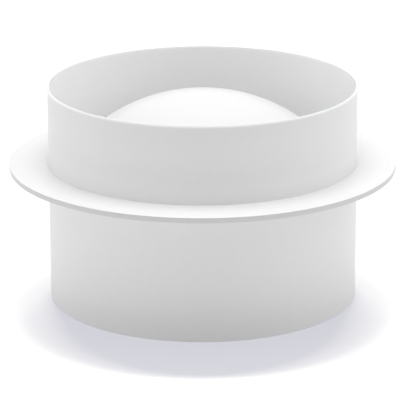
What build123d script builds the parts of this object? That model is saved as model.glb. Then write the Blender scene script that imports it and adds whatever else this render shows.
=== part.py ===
from build123d import *

import os
from math import sqrt

# Deck ring of a 100 mm cowl vent, with the storm plug that closes it when the cowl is off.
#
# Millimetres, +Z up along the axis of the ring. The origin is the middle of the sleeve's
# foot, so the ring stands on Z = 0, and the deck comes up to the underside of the flange.

# ---- vent tube: the collar above the deck and the sleeve through it, in one length ----
TUBE_OUTSIDE = 100.0        # diameter that the cowl slips over and the deck hole clears
TUBE_WALL = 1.5
SLEEVE_LENGTH = 43.1        # from the foot up to the flange
COLLAR_HEIGHT = 25.3        # from the flange up to the rim
RIM_ROUND = 0.4             # outer edge of the rim
RIM_LAND = 0.1              # flat top of the rim, inside that edge
FOOT_ROUND = 0.3            # both edges of the foot

# ---- deck flange: the flat ring that lies on the deck ----
FLANGE_WIDTH = 12.7         # from the outside of the tube to the flange's edge
FLANGE_THICKNESS = 1.8
FLANGE_EDGE_ROUND = 0.2     # the cut edge is square, and only broken
TONGUE_DEPTH = 0.6          # how far the flange's inner edge reaches into the groove round the tube
TONGUE_SLOPE = 0.4          # height of the slope above and below that edge

# ---- plug seat: a ring cemented inside the tube, with the plug's brim on its top edge ----
SEAT_WALL = 3.0
SEAT_HEIGHT = 12.0
SEAT_BELOW_FLANGE_TOP = 2.4     # the seat's top edge, measured down from the flange's top
SEAT_LEAD_IN = 0.8              # chamfer at both mouths of the seat's bore

# ---- storm plug ----
BRIM_THICKNESS = 2.0
BRIM_GAP = 0.3              # between the brim's edge and the tube, all round
BRIM_ROUND = 0.5
CROWN_SPHERE = 56.5         # radius of the domed top
CROWN_BELOW_RIM = 3.1       # the top of the dome, measured down from the rim
CROWN_SIDE = 40.0           # radius of the upright side below the dome
CROWN_KNUCKLE = 8.0         # radius between dome and side
CROWN_FOOT_ROUND = 1.5      # radius between side and brim
PLUG_WALL = 1.8             # wall of the crown
SKIRT_WALL = 2.5
SKIRT_GAP = 0.3             # between the skirt's lands and the seat's bore
UPPER_LAND = 4.0            # height of the land above the seal, under the brim
LOWER_LAND = 2.5            # height of the lip below the seal
SKIRT_LIP_ROUND = 0.6
SEAL_SECTION = 2.35         # thickness of the O-ring as it sits in its groove
SEAL_RUNNING_GAP = 0.05     # between the O-ring and the seat's bore
SEAL_SIDE_GAP = 0.3         # above and below the O-ring in its groove

# ---- levels and radii that follow from the sizes above ----
TUBE_R = TUBE_OUTSIDE / 2
BORE_R = TUBE_R - TUBE_WALL
RIM_BORE_R = TUBE_R - RIM_ROUND - RIM_LAND
FLANGE_R = TUBE_R + FLANGE_WIDTH
FLANGE_UNDER = SLEEVE_LENGTH
FLANGE_TOP = FLANGE_UNDER + FLANGE_THICKNESS
RIM = FLANGE_TOP + COLLAR_HEIGHT
SEAT_TOP = FLANGE_TOP - SEAT_BELOW_FLANGE_TOP
SEAT_FOOT = SEAT_TOP - SEAT_HEIGHT
SEAT_BORE_R = BORE_R - SEAT_WALL
BRIM_TOP = SEAT_TOP + BRIM_THICKNESS
BRIM_R = BORE_R - BRIM_GAP
CROWN_CENTRE = RIM - CROWN_BELOW_RIM - CROWN_SPHERE
LAND_R = SEAT_BORE_R - SKIRT_GAP
GROOVE_FLOOR_R = SEAT_BORE_R - SEAL_RUNNING_GAP - SEAL_SECTION
GROOVE_TOP = SEAT_TOP - UPPER_LAND
GROOVE_FOOT = GROOVE_TOP - SEAL_SECTION - 2 * SEAL_SIDE_GAP
SKIRT_FOOT = GROOVE_FOOT - LOWER_LAND


def outline(corners):
    """A face in the half plane of radius and height, from (radius, height, round) corners."""
    face = Sketch() + make_face(Polyline(*[(radius, height) for radius, height, _ in corners], close=True))
    for radius, height, corner_round in corners:
        if corner_round > 0:
            face = fillet(face.vertices().sort_by_distance((radius, height, 0))[0], corner_round)
    return face


def turned(face):
    """The solid that a face of radius and height sweeps round the axis."""
    return revolve(Plane.XZ * face, Axis.Z)


def tongue():
    """Corners of the flange's sloped inner edge, which are also those of the groove it sits in."""
    return [
        (TUBE_R, FLANGE_UNDER, 0),
        (TUBE_R - TONGUE_DEPTH, FLANGE_UNDER + TONGUE_SLOPE, 0),
        (TUBE_R - TONGUE_DEPTH, FLANGE_TOP - TONGUE_SLOPE, 0),
        (TUBE_R, FLANGE_TOP, 0),
    ]


def vent_tube():
    """One length of tube: collar that thins to the rim, groove for the flange, and sleeve."""
    return turned(outline([
        (BORE_R, 0, FOOT_ROUND),
        (TUBE_R, 0, FOOT_ROUND),
        *tongue(),
        (TUBE_R, RIM, RIM_ROUND),
        (RIM_BORE_R, RIM, 0),
        (BORE_R, FLANGE_TOP, 0),
    ]))


def deck_flange():
    """The flat ring that is sprung into the tube's groove and cemented there."""
    return turned(outline([
        *reversed(tongue()),
        (FLANGE_R, FLANGE_UNDER, FLANGE_EDGE_ROUND),
        (FLANGE_R, FLANGE_TOP, FLANGE_EDGE_ROUND),
    ]))


def plug_seat():
    """The ring inside the tube that carries the plug and seals on its O-ring."""
    return turned(outline([
        (SEAT_BORE_R, SEAT_FOOT + SEAT_LEAD_IN, 0),
        (SEAT_BORE_R + SEAT_LEAD_IN, SEAT_FOOT, 0),
        (BORE_R, SEAT_FOOT, 0),
        (BORE_R, SEAT_TOP, 0),
        (SEAT_BORE_R + SEAT_LEAD_IN, SEAT_TOP, 0),
        (SEAT_BORE_R, SEAT_TOP - SEAT_LEAD_IN, 0),
    ]))


def dome(sphere, side, knuckle, foot):
    """A solid dome: a spherical top rounded over into an upright side that ends at foot."""
    shoulder = CROWN_CENTRE + sqrt(sphere**2 - side**2)
    column = Pos(side / 2, (foot + RIM) / 2) * Rectangle(side, RIM - foot)
    face = column & Pos(0, CROWN_CENTRE) * Circle(sphere)
    return turned(fillet(face.vertices().sort_by_distance((side, shoulder, 0))[0], knuckle))


def plug_crown():
    """The domed top of the plug, its brim, and the land that is the roof of the seal's groove."""
    brim = turned(outline([
        (0, SEAT_TOP, 0),
        (BRIM_R, SEAT_TOP, BRIM_ROUND),
        (BRIM_R, BRIM_TOP, BRIM_ROUND),
        (0, BRIM_TOP, 0),
    ]))
    shell = brim + dome(CROWN_SPHERE, CROWN_SIDE, CROWN_KNUCKLE, SEAT_TOP)
    corner = shell.edges().filter_by(GeomType.CIRCLE).sort_by_distance((CROWN_SIDE, 0, BRIM_TOP))[0]
    shell = fillet(corner, CROWN_FOOT_ROUND)
    shell -= dome(CROWN_SPHERE - PLUG_WALL, CROWN_SIDE - PLUG_WALL, CROWN_KNUCKLE - PLUG_WALL, SEAT_TOP)
    land = turned(outline([
        (GROOVE_FLOOR_R, GROOVE_TOP, 0),
        (LAND_R, GROOVE_TOP, 0),
        (LAND_R, SEAT_TOP, 0),
        (GROOVE_FLOOR_R, SEAT_TOP, 0),
    ]))
    return shell + land


def plug_skirt():
    """The ring cemented inside the crown's land: the groove's floor, and its lip below."""
    return turned(outline([
        (GROOVE_FLOOR_R - SKIRT_WALL, SKIRT_FOOT, 0),
        (LAND_R, SKIRT_FOOT, SKIRT_LIP_ROUND),
        (LAND_R, GROOVE_FOOT, 0),
        (GROOVE_FLOOR_R, GROOVE_FOOT, 0),
        (GROOVE_FLOOR_R, SEAT_TOP, 0),
        (GROOVE_FLOOR_R - SKIRT_WALL, SEAT_TOP, 0),
    ]))


def plug_o_ring():
    """The rubber ring in the groove, which grips the seat's bore."""
    middle_height = (GROOVE_TOP + GROOVE_FOOT) / 2
    middle_radius = GROOVE_FLOOR_R + SEAL_SECTION / 2
    return turned(Pos(middle_radius, middle_height) * Circle(SEAL_SECTION / 2))


PIECES = {
    "vent_tube": vent_tube,
    "deck_flange": deck_flange,
    "plug_seat_ring": plug_seat,
    "plug_crown": plug_crown,
    "plug_skirt": plug_skirt,
    "plug_o_ring": plug_o_ring,
}

os.makedirs("parts", exist_ok=True)
for name, make in PIECES.items():
    piece = make()
    piece.label = name
    export_step(piece, f"parts/{name}.step")
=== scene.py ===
import logging
from dataclasses import dataclass
from enum import Enum
from math import asin, cos, pi, radians, sin

import bmesh
import bpy
from mathutils import Matrix, Vector


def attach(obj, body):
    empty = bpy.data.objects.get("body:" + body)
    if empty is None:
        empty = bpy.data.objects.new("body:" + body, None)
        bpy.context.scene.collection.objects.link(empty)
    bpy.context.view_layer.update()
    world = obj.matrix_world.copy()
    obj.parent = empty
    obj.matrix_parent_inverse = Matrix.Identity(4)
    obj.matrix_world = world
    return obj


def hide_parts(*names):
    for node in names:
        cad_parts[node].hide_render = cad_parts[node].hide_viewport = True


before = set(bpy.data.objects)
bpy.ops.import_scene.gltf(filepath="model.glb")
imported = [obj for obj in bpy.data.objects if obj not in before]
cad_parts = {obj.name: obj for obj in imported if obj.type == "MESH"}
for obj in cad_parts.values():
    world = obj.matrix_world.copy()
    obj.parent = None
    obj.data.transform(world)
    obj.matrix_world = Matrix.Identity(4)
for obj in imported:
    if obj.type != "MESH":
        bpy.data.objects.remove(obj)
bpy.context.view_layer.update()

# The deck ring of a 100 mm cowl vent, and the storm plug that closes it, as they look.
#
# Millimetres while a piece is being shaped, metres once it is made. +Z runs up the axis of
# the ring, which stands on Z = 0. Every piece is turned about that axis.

MM = 0.001
LOG = logging.getLogger("deck_ring")

Object = bpy.types.Object
Pair = tuple[float, float]
Triple = tuple[float, float, float]


# ---- names of the frame ----

class Body(Enum):
    """The rigid bodies that pieces ride on."""

    RING = "deck_ring"
    PLUG = "storm_plug"


class Slot(Enum):
    """The record's material slots."""

    RING = "ring_pvc"
    PLUG = "plug_pvc"
    SEAL = "seal_rubber"


# ---- turning ----

def placed(name: str, data: bpy.types.ID) -> Object:
    """Puts a new object in the scene.

    Args:
        name: Its name.
        data: Its mesh, light or camera.

    Returns:
        The object.
    """
    made = bpy.data.objects.new(name, data)
    bpy.context.scene.collection.objects.link(made)
    return made


class Lathe:
    """Draws an outline of radius and height, in millimetres, and turns it about the axis.

    The outline lies in the XZ plane. Its strokes can be chained, because each returns the lathe.
    """

    STEPS_ROUND = 256   # faces round a turned piece
    MERGE = 0.0005      # points nearer than this become one

    def __init__(self, radius: float, height: float) -> None:
        """Puts the outline's first point.

        Args:
            radius: Radius of the point.
            height: Height of the point.
        """
        self.mesh = bmesh.new()
        self.first = bmesh.ops.create_vert(self.mesh, co=(radius, 0, height))["vert"][0]
        self.last = self.first
        self.rounded: list[tuple[bmesh.types.BMVert, float]] = []

    def to(self, radius: float, height: float, rounding: float = 0.0) -> "Lathe":
        """Draws a straight line to a corner.

        Args:
            radius: Radius of the corner.
            height: Height of the corner.
            rounding: Radius that the corner is rounded to once the outline is whole.

        Returns:
            The lathe.
        """
        self.last = bmesh.ops.extrude_vert_indiv(self.mesh, verts=[self.last])["verts"][0]
        self.last.co = (radius, 0, height)
        if rounding > 0:
            self.rounded.append((self.last, rounding))
        return self

    def arc(self, radius: float, height: float, turn: float, steps: int) -> "Lathe":
        """Draws an arc on from the last point.

        Args:
            radius: Radius of the arc's centre.
            height: Height of the arc's centre.
            turn: Angle in radians, from the top of the arc outwards where it is positive.
            steps: Number of edges in the arc.

        Returns:
            The lathe.
        """
        swept = bmesh.ops.spin(
            self.mesh, geom=[self.last], cent=(radius, 0, height), axis=(0, 1, 0), angle=turn, steps=steps,
        )
        self.last = swept["geom_last"][0]
        return self

    def close(self) -> "Lathe":
        """Draws the last line, back to the first point."""
        bmesh.ops.contextual_create(self.mesh, geom=[self.last, self.first])
        return self

    def turned(self, name: str, round_steps: int = 6) -> Object:
        """Rounds the corners, turns the outline once about the axis, and ends the lathe's work.

        Args:
            name: Name of the piece.
            round_steps: Number of edges over a rounded corner.

        Returns:
            The piece, smooth and in metres, with its flat faces evenly shaded.
        """
        for corner, rounding in self.rounded:
            bmesh.ops.bevel(
                self.mesh, geom=[corner], offset=rounding, offset_type="OFFSET", segments=round_steps,
                profile=0.5, affect="VERTICES", material=-1,
            )
        bmesh.ops.spin(
            self.mesh, geom=self.mesh.verts[:] + self.mesh.edges[:], cent=(0, 0, 0), axis=(0, 0, 1),
            angle=2 * pi, steps=self.STEPS_ROUND, use_merge=True,
        )
        bmesh.ops.remove_doubles(self.mesh, verts=self.mesh.verts[:], dist=self.MERGE)
        bmesh.ops.recalc_face_normals(self.mesh, faces=self.mesh.faces[:])
        bmesh.ops.scale(self.mesh, vec=(MM, MM, MM), verts=self.mesh.verts[:])
        data = bpy.data.meshes.new(name)
        self.mesh.to_mesh(data)
        self.mesh.free()
        data.shade_smooth()
        piece = placed(name, data)
        piece.modifiers.new("even_flats", "WEIGHTED_NORMAL").weight = 100
        return piece


# ---- shared effects ----

Socket = bpy.types.NodeSocket
Link = Socket | float | tuple

# The Mix node's first input, second input and output, by what it mixes. Input 0 is its factor.
MIX_SOCKETS = {"FLOAT": (2, 3, 0), "RGBA": (6, 7, 2)}


class Graph:
    """Adds nodes to one tree and links them.

    Attributes:
        tree: The tree.
        given: Outputs of the node that the tree starts from.
        where: The one of them that says which point is looked at.
    """

    PATCH_SPAN = (0.25, 0.75)   # part of a noise that a patchy mask is made from

    def __init__(self, tree: bpy.types.NodeTree, source: str, point: str) -> None:
        """Starts the tree afresh.

        Args:
            tree: The tree. It loses the nodes that it comes with.
            source: Kind of the node that it starts from.
            point: Name of that node's output that says where a point is.
        """
        self.tree = tree
        tree.nodes.clear()
        self.given = self.add(source).outputs
        self.where = self.given[point]

    def feed(self, socket: Socket, value: Link) -> None:
        """Links a value to an input, or sets it there where it is a plain one."""
        if isinstance(value, Socket):
            self.tree.links.new(value, socket)
        else:
            socket.default_value = value

    def add(
        self, kind: str, inputs: dict[str | int, Link] | None = None, **settings: object,
    ) -> bpy.types.Node:
        """Adds a node.

        Args:
            kind: Node type without its ShaderNode prefix, or in full for a group's own nodes.
            inputs: A link or a plain value for each input, by name or number.
            settings: Properties of the node.

        Returns:
            The node.
        """
        node = self.tree.nodes.new(kind if kind.startswith("NodeGroup") else "ShaderNode" + kind)
        for name, value in settings.items():
            setattr(node, name, value)
        for name, value in (inputs or {}).items():
            self.feed(node.inputs[name], value)
        return node

    def math(self, operation: str, *values: Link) -> Socket:
        """Adds a Math node that works on the values in order."""
        return self.add("Math", dict(enumerate(values)), operation=operation).outputs[0]

    def ramp(self, value: Link, low: Link, high: Link, to_low: Link = 0.0, to_high: Link = 1.0) -> Socket:
        """Maps the span from low to high onto that from to_low to to_high, and clamps what is outside."""
        ends = {"Value": value, "From Min": low, "From Max": high, "To Min": to_low, "To Max": to_high}
        return self.add("MapRange", ends).outputs["Result"]

    def noise(self, point: Link, scale: Link, octaves: float = 2.0) -> Socket:
        """Reads a noise of scale waves to the metre at a point. It is around a half."""
        return self.add("TexNoise", {"Vector": point, "Scale": scale, "Detail": octaves}).outputs[0]

    def patchy(self, scale: float, least: float) -> Socket:
        """Reads a slow noise from least to 1. An even mask of painted shade or light times it is patchy."""
        return self.ramp(self.noise(self.where, scale, octaves=3.0), *self.PATCH_SPAN, least, 1.0)

    def mix(self, kind: str, factor: Link, first: Link, second: Link, blend: str = "MIX") -> Socket:
        """Adds a Mix node.

        Args:
            kind: What it mixes, as MIX_SOCKETS names it.
            factor: How much of the second input there is.
            first: The first input.
            second: The second input.
            blend: How the second input is laid over the first.

        Returns:
            Its result.
        """
        one, two, result = MIX_SOCKETS[kind]
        node = self.add("Mix", {0: factor, one: first, two: second}, data_type=kind, blend_type=blend)
        return node.outputs[result]

    def shaded(self, colour: Link, tint: Triple, mask: Link) -> Socket:
        """Multiplies a colour by a tint as far as a mask says."""
        return self.mix("RGBA", mask, colour, (*tint, 1), blend="MULTIPLY")

    def stretched(self, *scale: float) -> Socket:
        """Scales the point along each direction, so that a pattern read there is squeezed by as much."""
        return self.add("Mapping", {"Vector": self.where, "Scale": scale}).outputs[0]

    def radius(self) -> Socket:
        """Measures how far the point is from the axis."""
        flat = self.stretched(1, 1, 0)
        return self.add("VectorMath", {0: flat}, operation="LENGTH").outputs["Value"]

    def height(self) -> Socket:
        """Measures how high the point is."""
        return self.add("SeparateXYZ", {0: self.where}).outputs["Z"]


class EffectGroup:
    """A node group that several materials share. It is built the first time that it is placed.

    Attributes:
        name: Name of the group.
        inputs: Value of each input, by name: a number or a colour. The point comes before them.
        outputs: Socket type of each output, by name.
    """

    name = ""
    inputs: dict[str, float | tuple] = {}
    outputs = {"Mask": "Float"}

    def tree(self) -> bpy.types.NodeTree:
        """Builds the group's tree where that hasn't been done.

        Returns:
            The tree.
        """
        known = bpy.data.node_groups.get(self.name)
        if known is not None:
            return known
        tree = bpy.data.node_groups.new(self.name, "ShaderNodeTree")
        tree.interface.new_socket(name="Vector", in_out="INPUT", socket_type="NodeSocketVector")
        for name, value in self.inputs.items():
            kind = "NodeSocketColor" if isinstance(value, tuple) else "NodeSocketFloat"
            tree.interface.new_socket(name=name, in_out="INPUT", socket_type=kind).default_value = value
        for name, kind in self.outputs.items():
            tree.interface.new_socket(name=name, in_out="OUTPUT", socket_type="NodeSocket" + kind)
        graph = Graph(tree, "NodeGroupInput", "Vector")
        graph.add("NodeGroupOutput", self.results(graph))
        return tree

    def results(self, graph: Graph) -> dict[str, Link]:
        """Adds the effect's own nodes to the group's graph, and says what each output gets."""
        raise NotImplementedError

    def place(self, graph: Graph, **values: Link) -> bpy.types.NodeOutputs:
        """Places the group in a material's graph. The inputs' names have _ for their spaces."""
        named = {name.replace("_", " "): value for name, value in values.items()}
        return graph.add("Group", {"Vector": graph.where, **named}, node_tree=self.tree()).outputs


class ToneDrift(EffectGroup):
    """A colour that drifts a little from place to place and is finely mottled, as a batch of plastic is."""

    name = "tone_drift"
    inputs = {"Colour": (1, 1, 1, 1), "Drifted": (1, 1, 1, 1), "Scale": 20.0, "Mottle": 0.4}
    outputs = {"Colour": "Color"}
    CLOUD_SPAN = (0.3, 0.7)     # part of the slow noise that goes from one colour to the other
    SPECKS = 420.0              # waves of the mottle to the metre
    SPECK_SPAN = (0.35, 0.65)   # the same part of the mottle's noise

    def results(self, graph: Graph) -> dict[str, Link]:
        """Drifts between the two colours by a slow noise with a fine one on it.

        Args:
            graph: The group's graph.

        Returns:
            The colour.
        """
        given = graph.given
        cloud = graph.ramp(graph.noise(graph.where, given["Scale"], octaves=3.0), *self.CLOUD_SPAN)
        specks = graph.ramp(graph.noise(graph.where, self.SPECKS, octaves=3.0), *self.SPECK_SPAN)
        tone = graph.mix("FLOAT", given["Mottle"], cloud, specks)
        return {"Colour": graph.mix("RGBA", tone, given["Colour"], given["Drifted"])}


class MouldSkin(EffectGroup):
    """The skin of a moulding: a long soft wave, and the fine grain of the tool on it."""

    name = "mould_skin"
    inputs = {"Wave": 120.0, "Grain": 1800.0, "Grain Share": 0.3}
    outputs = {"Height": "Float"}

    def results(self, graph: Graph) -> dict[str, Link]:
        """Lays the grain on the wave.

        Args:
            graph: The group's graph.

        Returns:
            The height of the skin.
        """
        given = graph.given
        wave = graph.noise(graph.where, given["Wave"], octaves=1.0)
        grain = graph.math("MULTIPLY", graph.noise(graph.where, given["Grain"]), given["Grain Share"])
        return {"Height": graph.math("ADD", wave, grain)}


class DrawLines(EffectGroup):
    """Faint straight lines along the axis, which the die leaves on a drawn tube."""

    name = "draw_lines"
    inputs = {"Lines": 350.0}
    outputs = {"Height": "Float"}
    DRAWN_OUT = (1, 1, 0.02)    # squeezes the height so far that the noise makes lines along the axis

    def results(self, graph: Graph) -> dict[str, Link]:
        """Draws a noise out along the axis."""
        along = graph.stretched(*self.DRAWN_OUT)
        return {"Height": graph.noise(along, graph.given["Lines"], octaves=3.0)}


class TurnedRings(EffectGroup):
    """Faint rings about the axis, which the cutter leaves on a turned face."""

    name = "turned_rings"
    inputs = {"Rings": 1400.0}
    outputs = {"Height": "Float"}

    def results(self, graph: Graph) -> dict[str, Link]:
        """Reads a noise by radius and height alone."""
        across = graph.add("CombineXYZ", {"X": graph.radius(), "Z": graph.height()}).outputs[0]
        return {"Height": graph.noise(across, graph.given["Rings"])}


class Scuffs(EffectGroup):
    """Fine rubbed streaks round the axis, between two heights, where a part is pushed on and twisted."""

    name = "scuffs"
    inputs = {"Low": 0.0, "High": 1.0, "Fade": 0.004}
    ROUND_ABOUT = (1, 1, 40)    # stretches the height so far that the noise makes streaks round the axis
    STREAKS = 60.0              # waves of the streaks to the metre
    STREAK_SPAN = (0.55, 0.72)  # part of their noise where they show
    PATCHES = 45.0              # waves to the metre of the patches that have streaks
    PATCH_SPAN = (0.45, 0.65)   # part of their noise where they begin

    def results(self, graph: Graph) -> dict[str, Link]:
        """Keeps streaks in patches, within the band.

        Args:
            graph: The group's graph.

        Returns:
            The mask of the streaks.
        """
        low, high, fade = (graph.given[name] for name in ("Low", "High", "Fade"))
        height = graph.height()
        above = graph.ramp(height, low, graph.math("ADD", low, fade))
        below = graph.ramp(height, graph.math("SUBTRACT", high, fade), high, 1.0, 0.0)
        round_about = graph.stretched(*self.ROUND_ABOUT)
        streaks = graph.ramp(graph.noise(round_about, self.STREAKS, octaves=4.0), *self.STREAK_SPAN)
        patches = graph.ramp(graph.noise(graph.where, self.PATCHES), *self.PATCH_SPAN)
        band = graph.math("MULTIPLY", above, below)
        return {"Mask": graph.math("MULTIPLY", band, graph.math("MULTIPLY", streaks, patches))}


class RootShade(EffectGroup):
    """Painted shade on a flat ring: darkest close round the wall that stands on it, thinning outwards."""

    name = "root_shade"
    inputs = {"Wall": 0.05, "Reach": 0.004}
    CORNER = 0.0009         # metres that the painted shade packed into the corner reaches
    CORNER_SHARE = 0.55     # its part of the mask
    WIDE_SHARE = 0.45       # the part of the painted shade that lies wide

    def results(self, graph: Graph) -> dict[str, Link]:
        """Adds what lies wide to what is packed into the corner.

        Args:
            graph: The group's graph.

        Returns:
            The mask of the painted shade.
        """
        wall, radius = graph.given["Wall"], graph.radius()
        wide = graph.ramp(radius, wall, graph.math("ADD", wall, graph.given["Reach"]), 1.0, 0.0)
        corner = graph.ramp(radius, wall, graph.math("ADD", wall, self.CORNER), self.CORNER_SHARE, 0.0)
        both = graph.math("MULTIPLY_ADD", wide, self.WIDE_SHARE, corner)
        return {"Mask": graph.math("MULTIPLY", both, graph.patchy(scale=70.0, least=0.85))}


class DeckLine(EffectGroup):
    """What a flange does to the look of the tube that it stands out from: painted shade above it, and
    painted light below it.
    """

    name = "deck_line"
    inputs = {"Above": 0.045, "Below": 0.043, "Reach": 0.006}
    outputs = {"Painted Shade": "Float", "Painted Light": "Float"}
    SHADE_CURVE = 1.4        # how fast the painted shade thins at first
    LIGHT_CURVE = 1.3       # how fast the painted light ends at first
    LIGHT_REACH = -2.0      # reach of the painted light below the flange, as a factor of the reach above it

    def results(self, graph: Graph) -> dict[str, Link]:
        """Fades one mask upwards from the flange and the other downwards.

        Args:
            graph: The group's graph.

        Returns:
            The masks of the painted shade and of the painted light.
        """
        above, below, reach = (graph.given[name] for name in ("Above", "Below", "Reach"))
        height = graph.height()
        # Painted shade fades upwards from the flange's top; painted light fades downwards from its
        # underside.
        over = graph.math("GREATER_THAN", height, above)
        thinning = graph.ramp(height, above, graph.math("ADD", above, reach), 1.0, 0.0)
        painted_shade = graph.math("MULTIPLY", over, graph.math("POWER", thinning, self.SHADE_CURVE))
        under = graph.math("LESS_THAN", height, below)
        edge = graph.math("MULTIPLY_ADD", reach, self.LIGHT_REACH, below)
        lit_below = graph.math("POWER", graph.ramp(height, edge, below), self.LIGHT_CURVE)
        return {
            "Painted Shade": graph.math("MULTIPLY", painted_shade, graph.patchy(scale=60.0, least=0.7)),
            "Painted Light": graph.math("MULTIPLY", under, lit_below),
        }


class RimHighlight(EffectGroup):
    """A mask of the top edge of a tube, where a highlight is painted on the colour and the clear gloss coat
    is laid.
    """

    name = "rim_highlight"
    inputs = {"Rim": 0.07, "Reach": 0.0008}
    FULL = -0.35            # where the painted highlight is full, from the rim, as a factor of its reach

    def results(self, graph: Graph) -> dict[str, Link]:
        """Fades the painted highlight in from below the rim.

        Args:
            graph: The group's graph.

        Returns:
            The mask of the painted highlight.
        """
        rim, reach = graph.given["Rim"], graph.given["Reach"]
        full = graph.math("MULTIPLY_ADD", reach, self.FULL, rim)
        highlit = graph.ramp(graph.height(), graph.math("SUBTRACT", rim, reach), full)
        return {"Mask": graph.math("MULTIPLY", highlit, graph.patchy(scale=90.0, least=0.75))}


class EdgeShade(EffectGroup):
    """The band of a disc's rim, on which shade is painted."""

    name = "painted_edge_shade"
    inputs = {"Radius": 0.06, "Blend": 0.0001}

    def results(self, graph: Graph) -> dict[str, Link]:
        """Marks what is as far out as the rim."""
        start = graph.math("SUBTRACT", graph.given["Radius"], graph.given["Blend"])
        return {"Mask": graph.ramp(graph.radius(), start, graph.given["Radius"])}


# ---- finishes ----

class Making(Enum):
    """How a piece was made, which sets the marks on its skin."""

    DRAWN = "drawn"
    TURNED = "turned"
    MOULDED = "moulded"


@dataclass(frozen=True)
class Finish:
    """What every finish has.

    Attributes:
        name: Name of the material.
        slot: The record's slot that pieces in this finish belong to. It is not used.
    """

    name: str
    slot: Slot
    DULL_SPAN = (0.3, 0.7)      # part of a noise that goes from the least roughness to the most

    def material(self) -> bpy.types.Material:
        """Builds the material where that hasn't been done.

        Returns:
            The material.
        """
        known = bpy.data.materials.get(self.name)
        if known is not None:
            return known
        made = bpy.data.materials.new(self.name)
        made.use_nodes = True
        graph = Graph(made.node_tree, "TexCoord", "Object")
        shader = graph.add("BsdfPrincipled")
        graph.add("OutputMaterial", {"Surface": shader.outputs[0]})
        for name, value in self.look(graph).items():
            graph.feed(shader.inputs[name], value)
        return made

    def look(self, graph: Graph) -> dict[str, Link]:
        """Adds the finish's own nodes, and says what the inputs of its Principled BSDF get."""
        raise NotImplementedError

    def bumped(self, graph: Graph, height: Link, relief: float) -> Socket:
        """Raises the skin by a height of which 1 is the relief, in metres."""
        return graph.add("Bump", {"Height": height, "Distance": relief}).outputs[0]

    def dulled(self, graph: Graph, scale: float, middle: float, drift: Pair) -> Socket:
        """Lets the roughness drift down and up by a noise of scale waves to the metre."""
        least, most = (middle + step for step in drift)
        return graph.ramp(graph.noise(graph.where, scale, octaves=3.0), *self.DULL_SPAN, least, most)


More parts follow.
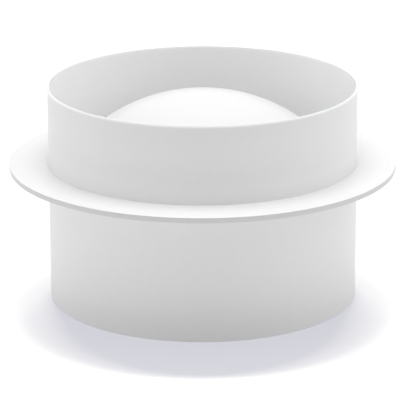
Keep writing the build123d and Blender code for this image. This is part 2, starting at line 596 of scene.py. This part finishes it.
@dataclass(frozen=True)
class WhitePlastic(Finish):
    """Hard white PVC.

    Attributes:
        making: How the piece was made.
        colour: Colour, linear.
        drifted: Colour that it drifts to.
        roughness: Roughness of the skin.
        polish: Weight of a clear gloss over it.
        relief: Height of the marks on the skin, in metres.
        scuffed: Lowest and highest height of the rubbed band, in metres, or None.
        root: Radius of the wall round which shade is painted on a flat, in metres, or None.
        shaded_edge: Radius of a disc's edge, where shade is painted, in metres, or None.
        deck: Heights of the top and underside of a flange, above which shade and below which light is
            painted on the tube, in metres, or None.
        rim: Height of a rim where a highlight is painted and a clear gloss coat is laid, in metres, or
            None.
    """

    making: Making = Making.MOULDED
    colour: Triple = (0.86, 0.86, 0.865)
    drifted: Triple = (0.84, 0.84, 0.845)
    roughness: float = 0.36
    polish: float = 0.0
    relief: float = 12e-6
    scuffed: Pair | None = None
    root: float | None = None
    shaded_edge: float | None = None
    deck: Pair | None = None
    rim: float | None = None

    # What the colour is multiplied by under each mark. In order: painted shade round a wall's root, painted
    # shade above a flange, painted light below it, painted shade on a disc's edge, and a painted highlight
    # on a rim.
    PAINTED_ROOT_SHADE = (0.8, 0.8, 0.805)
    PAINTED_SHADE_ABOVE_FLANGE = (0.88, 0.88, 0.883)
    PAINTED_LIGHT_BELOW_FLANGE = (1.08, 1.08, 1.08)
    PAINTED_EDGE_SHADE = (0.76, 0.76, 0.765)
    PAINTED_RIM_HIGHLIGHT = (1.12, 1.12, 1.12)

    # How far each mark reaches, in metres.
    ROOT_SHADE_REACH = 0.009
    FLANGE_SHADE_AND_LIGHT_REACH = 0.0055
    RIM_HIGHLIGHT_REACH = 0.0011

    # What each way of making adds to the skin, its waves to the metre, and its share of the relief.
    MARKS = {
        Making.DRAWN: (DrawLines(), {"Lines": 260.0}, 0.8),
        Making.TURNED: (TurnedRings(), {"Rings": 1100.0}, 0.35),
    }
    SCUFF = 0.18            # what a scuff adds to the roughness

    def look(self, graph: Graph) -> dict[str, Link]:
        """Colours the plastic with its painted shade, light and highlight, marks its skin and dulls it.

        Args:
            graph: The material's graph.

        Returns:
            What the inputs of its Principled BSDF get.
        """
        colour, gloss = self.tone_with_painted_light(graph), self.polish
        # The rim's mask paints a highlight on the colour, and lays the clear gloss coat there.
        if self.rim is not None:
            gloss = RimHighlight().place(graph, Rim=self.rim, Reach=self.RIM_HIGHLIGHT_REACH)["Mask"]
            colour = graph.shaded(colour, self.PAINTED_RIM_HIGHLIGHT, gloss)
        return {
            "IOR": 1.53, "Coat Roughness": 0.12, "Coat Weight": gloss, "Base Color": colour,
            "Normal": self.bumped(graph, self.skin(graph), self.relief), "Roughness": self.dullness(graph),
        }

    def tone_with_painted_light(self, graph: Graph) -> Socket:
        """Works out the colour: its drift, the painted shade round a wall's root, on a disc's edge and
        above a flange, and the painted light below the flange.

        Args:
            graph: The material's graph.

        Returns:
            The colour.
        """
        ends = {"Colour": (*self.colour, 1), "Drifted": (*self.drifted, 1)}
        colour = ToneDrift().place(graph, **ends, Scale=22.0)["Colour"]
        # Painted shade round the wall that stands on the flat.
        if self.root is not None:
            painted_shade = RootShade().place(graph, Wall=self.root, Reach=self.ROOT_SHADE_REACH)["Mask"]
            colour = graph.shaded(colour, self.PAINTED_ROOT_SHADE, painted_shade)
        # Painted shade on the disc's edge.
        if self.shaded_edge is not None:
            colour = graph.shaded(colour, self.PAINTED_EDGE_SHADE, EdgeShade().place(graph, Radius=self.shaded_edge)["Mask"])
        # Painted shade above the flange, and painted light below it.
        if self.deck is not None:
            above, below = self.deck
            line = DeckLine().place(graph, Above=above, Below=below, Reach=self.FLANGE_SHADE_AND_LIGHT_REACH)
            colour = graph.shaded(colour, self.PAINTED_SHADE_ABOVE_FLANGE, line["Painted Shade"])
            colour = graph.shaded(colour, self.PAINTED_LIGHT_BELOW_FLANGE, line["Painted Light"])
        return colour

    def skin(self, graph: Graph) -> Socket:
        """Works out the marks that the making left.

        Args:
            graph: The material's graph.

        Returns:
            The height of the skin.
        """
        skin = MouldSkin().place(graph, Wave=90.0, Grain=1500.0, Grain_Share=0.25)["Height"]
        if self.making not in self.MARKS:
            return skin
        effect, waves, share = self.MARKS[self.making]
        marks = effect.place(graph, **waves)["Height"]
        return graph.math("ADD", skin, graph.math("MULTIPLY", marks, share))

    def dullness(self, graph: Graph) -> Socket:
        """Works out the roughness, which is more where the plastic is scuffed.

        Args:
            graph: The material's graph.

        Returns:
            The roughness.
        """
        dull = self.dulled(graph, scale=35.0, middle=self.roughness, drift=(-0.03, 0.04))
        if self.scuffed is None:
            return dull
        low, high = self.scuffed
        mask = Scuffs().place(graph, Low=low, High=high, Fade=0.004)["Mask"]
        return graph.math("ADD", dull, graph.math("MULTIPLY", mask, self.SCUFF))


@dataclass(frozen=True)
class SealRubber(Finish):
    """Black moulded rubber with a bloom on it.

    Attributes:
        colour: Colour, linear.
        bloom: Colour of the bloom, linear.
        roughness: Roughness of the clean rubber.
        relief: Height of the grain, in metres.
    """

    colour: Triple = (0.035, 0.035, 0.037)
    bloom: Triple = (0.06, 0.06, 0.062)
    roughness: float = 0.55
    relief: float = 20e-6

    def look(self, graph: Graph) -> dict[str, Link]:
        """Colours the rubber, grains it and dulls it.

        Args:
            graph: The material's graph.

        Returns:
            What the inputs of its Principled BSDF get.
        """
        ends = {"Colour": (*self.colour, 1), "Drifted": (*self.bloom, 1)}
        skin = MouldSkin().place(graph, Wave=400.0, Grain=3500.0, Grain_Share=0.8)["Height"]
        return {
            "IOR": 1.5,
            "Base Color": ToneDrift().place(graph, **ends, Scale=90.0)["Colour"],
            "Normal": self.bumped(graph, skin, self.relief),
            "Roughness": self.dulled(graph, scale=140.0, middle=self.roughness, drift=(-0.08, 0.1)),
        }


# ---- the object ----

def fitted(piece: Object, node: str, body: Body, finish: Finish) -> Object:
    """Dresses a piece, and lets it stand for a CAD node.

    Args:
        piece: The piece.
        node: The CAD node that it stands for.
        body: The body that it rides on.
        finish: Its finish.

    Returns:
        The piece.
    """
    piece.data.materials.append(finish.material())
    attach(piece, body.value)
    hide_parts(node)
    return piece


@dataclass(frozen=True)
class DeckRing:
    """The tube with its flange, and the seat inside it. Sizes are in millimetres.

    Attributes:
        tube_radius: Outside radius of collar and sleeve.
        tube_wall: Wall of the tube.
        sleeve: Length of the sleeve, from the foot up to the flange.
        collar: Height of the collar, from the flange up to the rim.
        rim_wall: Wall of the collar at the rim. It thins to that from the flange upwards.
        rim_land: Width of the rim's flat top, inside its sloped outer edge.
        rim_drop: Height of that edge.
        rim_rounds: Rounding of the rim's three corners, from the outside inwards.
        foot_round: Rounding of both edges of the foot.
        flange_width: Width of the flange, from the tube outwards.
        flange_thickness: Thickness of the flange.
        flange_round: Rounding of the flange's two edges.
        tongue_depth: Depth of the groove round the tube that holds the flange.
        tongue_slope: Height of the groove's sloped sides.
        bead: Height of the cement fillet above and below the flange.
        bead_round: Rounding of the fillet.
        bead_lip: Thickness that the cement thins out to.
        seat_wall: Wall of the seat.
        seat_height: Height of the seat.
        seat_drop: The seat's top edge, measured down from the flange's top.
        lead_in: Chamfer at both mouths of the seat's bore.
        seat_break: Rounding of the corners of the upper chamfer.
        scuff_clear: The rubbed band's ends, measured up from the flange and down from the rim.
    """

    tube_radius: float = 50.0
    tube_wall: float = 1.5
    sleeve: float = 43.1
    collar: float = 25.3
    rim_wall: float = 0.5
    rim_land: float = 0.22
    rim_drop: float = 0.5
    rim_rounds: Triple = (0.25, 0.12, 0.04)
    foot_round: float = 0.3
    flange_width: float = 12.7
    flange_thickness: float = 1.8
    flange_round: float = 0.2
    tongue_depth: float = 0.6
    tongue_slope: float = 0.4
    bead: float = 0.2
    bead_round: float = 0.18
    bead_lip: float = 0.04
    seat_wall: float = 3.0
    seat_height: float = 12.0
    seat_drop: float = 2.4
    lead_in: float = 0.8
    seat_break: float = 0.15
    scuff_clear: Pair = (3.1, 1.2)

    @property
    def bore(self) -> float:
        """Radius of the tube's bore below the flange."""
        return self.tube_radius - self.tube_wall

    @property
    def flange_radius(self) -> float:
        """Radius of the flange's edge."""
        return self.tube_radius + self.flange_width

    @property
    def flange_top(self) -> float:
        """Height of the flange's top."""
        return self.sleeve + self.flange_thickness

    @property
    def rim(self) -> float:
        """Height of the rim."""
        return self.flange_top + self.collar

    @property
    def seat_bore(self) -> float:
        """Radius of the seat's bore."""
        return self.bore - self.seat_wall

    @property
    def seat_top(self) -> float:
        """Height of the seat's upper edge."""
        return self.flange_top - self.seat_drop

    def tube_finish(self) -> WhitePlastic:
        """Scuffs the drawn tube where a cowl is pushed on, paints shade above the flange and light below
        it, and paints a highlight on the rim.
        """
        low, high = self.scuff_clear
        return WhitePlastic(
            "drawn_white_tube", Slot.RING, Making.DRAWN,
            scuffed=(MM * (self.flange_top + low), MM * (self.rim - high)),
            deck=(MM * self.flange_top, MM * self.sleeve), rim=MM * self.rim,
        )

    def flange_finish(self) -> WhitePlastic:
        """Makes the turned flange a little whiter, with painted shade round the tube and on its edge."""
        return WhitePlastic(
            "turned_white_flange", Slot.RING, Making.TURNED,
            colour=(0.874, 0.874, 0.877), drifted=(0.86, 0.86, 0.863),
            root=MM * self.tube_radius, shaded_edge=MM * self.flange_radius,
        )

    def tube(self) -> Object:
        """Turns the tube: foot, sleeve, groove for the flange, and the collar that thins to its rim.

        Returns:
            The piece.
        """
        outside, under, top = self.tube_radius, self.sleeve, self.flange_top
        groove = outside - self.tongue_depth
        end = outside - self.rim_wall
        land_outer, land_inner, bore_edge = self.rim_rounds
        lathe = Lathe(self.bore, under)
        lathe.to(self.bore, 0, self.foot_round).to(outside, 0, self.foot_round).to(outside, under)
        lathe.to(groove, under + self.tongue_slope).to(groove, top - self.tongue_slope).to(outside, top)
        lathe.to(outside, self.rim - self.rim_drop, land_outer)
        lathe.to(end + self.rim_land, self.rim, land_inner)
        lathe.to(end, self.rim, bore_edge).to(self.bore, top)
        return lathe.close().turned("tube_wall")

    def flange(self) -> Object:
        """Turns the flange, with the fillets of cement that hold it to the tube.

        Returns:
            The piece.
        """
        wall, under, top = self.tube_radius, self.sleeve, self.flange_top
        root = wall + self.bead_lip
        tongue = wall - self.tongue_depth
        lathe = Lathe(tongue, top - self.tongue_slope)
        lathe.to(tongue, under + self.tongue_slope).to(wall, under).to(wall, under - self.bead)
        lathe.to(root, under - self.bead).to(root, under, self.bead_round)
        lathe.to(self.flange_radius, under, self.flange_round)
        lathe.to(self.flange_radius, top, self.flange_round)
        lathe.to(root, top, self.bead_round).to(root, top + self.bead)
        lathe.to(wall, top + self.bead).to(wall, top)
        return lathe.close().turned("flange_plate")

    def seat(self) -> Object:
        """Turns the seat, with a lead-in at both mouths of its bore.

        Returns:
            The piece.
        """
        foot = self.seat_top - self.seat_height
        mouth = self.seat_bore + self.lead_in
        lathe = Lathe(self.seat_bore, foot + self.lead_in)
        lathe.to(mouth, foot).to(self.bore, foot).to(self.bore, self.seat_top)
        lathe.to(mouth, self.seat_top, self.seat_break)
        lathe.to(self.seat_bore, self.seat_top - self.lead_in, self.seat_break)
        return lathe.close().turned("seat_wall", round_steps=3)

    def build(self) -> list[Object]:
        """Builds and dresses the ring's pieces.

        Returns:
            The pieces.
        """
        seat_finish = WhitePlastic("turned_white_seat", Slot.RING, Making.TURNED, roughness=0.33)
        return [
            fitted(self.tube(), "vent_tube", Body.RING, self.tube_finish()),
            fitted(self.flange(), "deck_flange", Body.RING, self.flange_finish()),
            fitted(self.seat(), "plug_seat_ring", Body.RING, seat_finish),
        ]


@dataclass(frozen=True)
class StormPlug:
    """The domed plug with its skirt and seal, closed. Sizes are in millimetres.

    Attributes:
        ring: The ring that it closes.
        below_rim: The top of the dome, measured down from the rim.
        sphere: Radius of the dome's sphere.
        side: Radius of the upright side.
        knuckle: Radius between dome and side.
        foot_round: Radius between side and brim.
        wall: Wall of the crown.
        brim_thickness: Thickness of the brim.
        brim_gap: Gap between the brim's edge and the tube.
        brim_round: Rounding of the brim's edge.
        skirt_wall: Wall of the skirt.
        skirt_gap: Gap between the skirt's lands and the seat's bore.
        upper_land: Height of the land above the seal.
        lower_land: Height of the lip below the seal.
        land_break: Rounding of the lands' edges at the seal.
        lip_round: Rounding of the lip's outer edge.
        lip_break: Rounding of its inner edge.
        seal: Thickness of the O-ring.
        seal_gap: Gap between the O-ring and the seat's bore.
        seal_play: Gap above and below the O-ring.
        gate_radius: Radius of the trimmed gate under the crown.
        gate_height: Height of the gate.
        gate_round: Rounding of its edge.
    """

    ring: DeckRing
    below_rim: float = 3.1
    sphere: float = 56.5
    side: float = 40.0
    knuckle: float = 8.0
    foot_round: float = 1.5
    wall: float = 1.8
    brim_thickness: float = 2.0
    brim_gap: float = 0.3
    brim_round: float = 0.5
    skirt_wall: float = 2.5
    skirt_gap: float = 0.3
    upper_land: float = 4.0
    lower_land: float = 2.5
    land_break: float = 0.15
    lip_round: float = 0.6
    lip_break: float = 0.3
    seal: float = 2.35
    seal_gap: float = 0.05
    seal_play: float = 0.3
    gate_radius: float = 1.8
    gate_height: float = 0.3
    gate_round: float = 0.1

    # Numbers of edges over the dome, its knuckle, the foot of its side, and round the seal.
    DOME_STEPS = 44
    KNUCKLE_STEPS = 14
    FOOT_STEPS = 8
    SEAL_STEPS = 28

    @property
    def brim_under(self) -> float:
        """Height of the brim's underside, which rests on the seat."""
        return self.ring.seat_top

    @property
    def brim_top(self) -> float:
        """Height of the brim's top."""
        return self.brim_under + self.brim_thickness

    @property
    def land(self) -> float:
        """Radius of the lands above and below the seal."""
        return self.ring.seat_bore - self.skirt_gap

    @property
    def groove(self) -> float:
        """Radius of the groove's floor."""
        return self.ring.seat_bore - self.seal_gap - self.seal

    @property
    def groove_top(self) -> float:
        """Height of the groove's roof."""
        return self.brim_under - self.upper_land

    @property
    def groove_foot(self) -> float:
        """Height of the groove's lower side."""
        return self.groove_top - self.seal - 2 * self.seal_play

    def crown(self) -> Object:
        """Turns the crown: its dome, its brim, the land under the brim, and its hollow inside.

        Returns:
            The piece.
        """
        top = self.ring.rim - self.below_rim
        centre = top - self.sphere
        reach = self.side - self.knuckle
        lean = asin(reach / (self.sphere - self.knuckle))
        shoulder = centre + (self.sphere - self.knuckle) * cos(lean)
        foot = self.brim_top + self.foot_round
        brim_radius = self.ring.bore - self.brim_gap
        inner = self.side - self.wall
        hollow = self.sphere - self.wall
        gate_lean = asin(self.gate_radius / hollow)
        gate_foot = centre + hollow * cos(gate_lean) - self.gate_height

        lathe = Lathe(0, top).arc(0, centre, lean, self.DOME_STEPS)
        lathe.arc(reach, shoulder, pi / 2 - lean, self.KNUCKLE_STEPS)
        lathe.to(self.side, foot)
        lathe.arc(self.side + self.foot_round, foot, -pi / 2, self.FOOT_STEPS)
        lathe.to(brim_radius, self.brim_top, self.brim_round)
        lathe.to(brim_radius, self.brim_under, self.brim_round)
        lathe.to(self.land, self.brim_under).to(self.land, self.groove_top, self.land_break)
        lathe.to(self.groove, self.groove_top).to(self.groove, self.brim_under)
        lathe.to(inner, self.brim_under).to(inner, shoulder)
        lathe.arc(reach, shoulder, lean - pi / 2, self.KNUCKLE_STEPS)
        lathe.arc(0, centre, gate_lean - lean, self.DOME_STEPS)
        lathe.to(self.gate_radius, gate_foot, self.gate_round).to(0, gate_foot)
        return lathe.turned("crown_shell")

    def skirt(self) -> Object:
        """Turns the skirt: the groove's floor and the lip that holds the seal up.

        Returns:
            The piece.
        """
        bore = self.groove - self.skirt_wall
        foot = self.groove_foot - self.lower_land
        lathe = Lathe(bore, self.brim_under).to(bore, foot, self.lip_break)
        lathe.to(self.land, foot, self.lip_round).to(self.land, self.groove_foot, self.land_break)
        lathe.to(self.groove, self.groove_foot).to(self.groove, self.brim_under)
        return lathe.close().turned("skirt_wall", round_steps=4)

    def o_ring(self) -> Object:
        """Turns the O-ring from a circle that stands in the groove.

        Returns:
            The piece.
        """
        middle = (self.groove_top + self.groove_foot) / 2
        lathe = Lathe(self.groove, middle)
        lathe.arc(self.groove + self.seal / 2, middle, 2 * pi, self.SEAL_STEPS)
        return lathe.turned("seal_ring")

    def build(self) -> list[Object]:
        """Builds and dresses the plug's pieces.

        Returns:
            The pieces.
        """
        white = WhitePlastic(
            "moulded_white_plug", Slot.PLUG, Making.MOULDED, colour=(0.83, 0.83, 0.83),
            drifted=(0.82, 0.82, 0.822), roughness=0.31, polish=0.2, relief=6e-6,
        )
        rubber = SealRubber("black_seal_rubber", Slot.SEAL)
        return [
            fitted(self.crown(), "plug_crown", Body.PLUG, white),
            fitted(self.skirt(), "plug_skirt", Body.PLUG, white),
            fitted(self.o_ring(), "plug_o_ring", Body.PLUG, rubber),
        ]


# ---- the studio ----

WHITE = (1, 1, 1, 1)


@dataclass(frozen=True)
class SkyLight:
    """A soft light in the sky.

    Attributes:
        toward: Direction that it comes from.
        strength: Its brightness in the middle.
        focus: How closely it keeps to its middle.
    """

    toward: Triple
    strength: float
    focus: float

    def add(self, graph: Graph, light: Link) -> Socket:
        """Adds the light to the sky.

        Args:
            graph: The sky's graph.
            light: The light that is there already.

        Returns:
            The light with this one added.
        """
        middle = tuple(Vector(self.toward).normalized())
        facing = graph.add("VectorMath", {0: graph.where, 1: middle}, operation="DOT_PRODUCT")
        ahead = graph.math("MAXIMUM", facing.outputs["Value"], 0.0)
        return graph.math("MULTIPLY_ADD", graph.math("POWER", ahead, self.focus), self.strength, light)


@dataclass(frozen=True)
class ShadowLamp:
    """A lamp that lights the floor alone, and so draws the object's shadow on it.

    Attributes:
        name: Name of the lamp.
        tilt: Its angle from the zenith, towards the back, in radians.
        size: Its width and depth as seen from the floor, in metres.
        power: Its power in watts.
        spared: Names of the pieces that cast no shadow in its light.
        distance: Its distance from the object, in metres.
        colour: Its colour.
    """

    name: str
    tilt: float
    size: Pair
    power: float
    spared: tuple[str, ...] = ()
    distance: float = 6.0
    colour: Triple = (1.0, 0.982, 0.833)

    def hang(self, floor: Object, pieces: list[Object]) -> None:
        """Hangs the lamp.

        Args:
            floor: The floor.
            pieces: The object's pieces.
        """
        light = bpy.data.lights.new(self.name, "AREA")
        light.shape = "RECTANGLE"
        light.size, light.size_y = self.size
        light.energy = self.power
        light.color = self.colour
        lamp = placed(self.name, light)
        lamp.location = self.distance * Vector((0, sin(self.tilt), cos(self.tilt)))
        lamp.rotation_euler = (-self.tilt, 0, 0)
        lamp.visible_camera = False
        lamp.visible_glossy = False
        lit = bpy.data.collections.new(self.name + "_lights")
        lit.objects.link(floor)
        lamp.light_linking.receiver_collection = lit
        casting = bpy.data.collections.new(self.name + "_casters")
        for piece in pieces:
            if piece.name not in self.spared:
                casting.objects.link(piece)
        lamp.light_linking.blocker_collection = casting


def seen_directly(graph: Graph) -> Socket:
    """Tells rays of the camera, of gloss and of glass from those that carry soft light.

    Args:
        graph: The graph that asks.

    Returns:
        1 for the camera, gloss and glass, 0 for the rest.
    """
    path = graph.add("LightPath").outputs
    seen = graph.math("MAXIMUM", path["Is Camera Ray"], path["Is Glossy Ray"])
    return graph.math("MAXIMUM", seen, path["Is Transmission Ray"])


@dataclass(frozen=True)
class Studio:
    """A white floor under a soft sky, the lamps that draw the shadow, and the camera.

    Attributes:
        floor_side: Side of the square floor, in metres.
        floor_glow: Light that the floor gives off by itself.
        floor_white: Colour of the floor's paint.
        bounce: Light that the floor throws back on the object, as (distance from the axis in
            metres, strength).
        bounce_front: Share by which that light is stronger at the front, and weaker at the back.
        sky_lights: The soft lights of the sky.
        shadow_lamps: The lamps that draw the object's shadow.
        target: The point that the camera looks at, in metres.
        distance: Distance of the camera from it, in metres.
        elevation: Angle of the camera above the floor, in radians.
        roll: Turn of the camera about its own axis, in radians.
        lens: Focal length, in millimetres.
        sensor: Width of the camera's sensor, in millimetres.
    """

    floor_side: float = 12.0
    floor_glow: Triple = (0.595, 0.596, 0.654)
    floor_white: float = 0.06
    bounce: tuple[Pair, ...] = (
        (0.05, 0.3), (0.065, 0.15), (0.085, 0.755), (0.11, 1.36), (0.15, 0.61), (0.25, 0.34), (0.6, 0.0),
    )
    bounce_front: float = 0.3
    sky_lights: tuple[SkyLight, ...] = (
        SkyLight((0, 0, 1), 4.8, 14),
        SkyLight((-1, 0, 0.1), 1.54, 4),
        SkyLight((1, 0, 0.1), 1.4, 4),
        SkyLight((-0.7, -0.7, 0.1), 0.95, 8),
        SkyLight((0.7, -0.7, 0.1), 0.7, 8),
        SkyLight((0, -1, 0.1), 0.23, 14),
        SkyLight((0, 0.77, 0.64), 0.58, 6),
        SkyLight((-0.77, 0, 0.64), 0.42, 6),
        SkyLight((0.77, 0, 0.64), 0.86, 6),
    )
    shadow_lamps: tuple[ShadowLamp, ...] = (
        ShadowLamp("high_lamp_past_flange", radians(23.1), (1.4, 0.3), 1890.0, spared=("flange_plate",)),
        ShadowLamp("high_lamp", radians(23.1), (1.4, 0.3), 1207.0),
        ShadowLamp("overhead_lamp", 0.0, (5.0, 5.0), 154.0),
    )
    target: Triple = (-0.0009, 0.0, 0.03103)
    distance: float = 0.9175
    elevation: float = radians(17.36)
    roll: float = radians(-0.2)
    lens: float = 253.04
    sensor: float = 36.0

    def floor(self) -> Object:
        """Lays and paints the floor.

        Returns:
            The floor.
        """
        mesh = bmesh.new()
        bmesh.ops.create_grid(mesh, x_segments=1, y_segments=1, size=self.floor_side / 2)
        data = bpy.data.meshes.new("floor")
        mesh.to_mesh(data)
        mesh.free()
        data.materials.append(self.floor_paint())
        floor = placed("floor", data)
        return floor

    def floor_paint(self) -> bpy.types.Material:
        """Mixes a paint that is seen as white with a shadow, and throws its own soft light.

        Returns:
            The paint.
        """
        paint = bpy.data.materials.new("white_floor")
        paint.use_nodes = True
        graph = Graph(paint.node_tree, "TexCoord", "Object")
        glow = graph.add("Emission", {"Color": (*self.floor_glow, 1), "Strength": 1.0})
        matt = graph.add("BsdfDiffuse", {"Color": (self.floor_white,) * 3 + (1,)})
        shown = graph.add("AddShader", {0: glow.outputs[0], 1: matt.outputs[0]})
        profile = graph.add("ValToRGB", {0: graph.radius()})
        stops = profile.color_ramp.elements
        while len(stops) < len(self.bounce):
            stops.new(0.5)
        for stop, (distance, strength) in zip(stops, self.bounce, strict=True):
            stop.position = distance
            stop.color = (strength, strength, strength, 1)
        flat = graph.stretched(1, 1, 0)
        heading = graph.add("VectorMath", {0: flat}, operation="NORMALIZE").outputs["Vector"]
        behind = graph.add("SeparateXYZ", {0: heading}).outputs["Y"]
        towards_front = graph.math("MULTIPLY_ADD", behind, -self.bounce_front, 1.0)
        thrown = graph.add("Emission", {"Color": profile.outputs["Color"], "Strength": towards_front})
        both = graph.add("MixShader", {0: seen_directly(graph), 1: thrown.outputs[0], 2: shown.outputs[0]})
        graph.add("OutputMaterial", {"Surface": both.outputs[0]})
        return paint

    def sky(self) -> None:
        """Lights the world softly from above and the sides, and shows it as plain white."""
        world = bpy.data.worlds.new("soft_sky")
        bpy.context.scene.world = world
        world.use_nodes = True
        graph = Graph(world.node_tree, "TexCoord", "Generated")
        light: Link = 0.0
        for sky_light in self.sky_lights:
            light = sky_light.add(graph, light)
        lit = graph.add("Background", {"Color": WHITE, "Strength": light})
        shown = graph.add("Background", {"Color": WHITE, "Strength": 1.0})
        both = graph.add("MixShader", {0: seen_directly(graph), 1: lit.outputs[0], 2: shown.outputs[0]})
        graph.add("OutputWorld", {"Surface": both.outputs[0]})

    def camera(self) -> None:
        """Sets up the camera."""
        data = bpy.data.cameras.new("camera")
        data.lens = self.lens
        data.sensor_width = self.sensor
        data.clip_end = 50.0
        camera = placed("camera", data)
        away = Vector((0, -cos(self.elevation), sin(self.elevation)))
        place = Matrix.Translation(Vector(self.target) + self.distance * away)
        turn = Matrix.Rotation(pi / 2 - self.elevation, 4, "X") @ Matrix.Rotation(self.roll, 4, "Z")
        camera.matrix_world = place @ turn
        bpy.context.scene.camera = camera

    def build(self, pieces: list[Object]) -> None:
        """Sets up the floor, the light and the camera.

        Args:
            pieces: The object's pieces, which cast the shadow.
        """
        self.sky()
        floor = self.floor()
        for lamp in self.shadow_lamps:
            lamp.hang(floor, pieces)
        self.camera()
        bpy.context.scene.view_settings.view_transform = "Standard"


def main() -> None:
    """Builds the object and the studio, and reports each piece."""
    logging.basicConfig(level=logging.INFO, format="%(name)s: %(message)s")
    ring = DeckRing()
    pieces = ring.build() + StormPlug(ring).build()
    for piece in pieces:
        LOG.info("%s: %d faces, in %s", piece.name, len(piece.data.polygons), piece.data.materials[0].name)
    Studio().build(pieces)


if __name__ == "__main__":
    main()
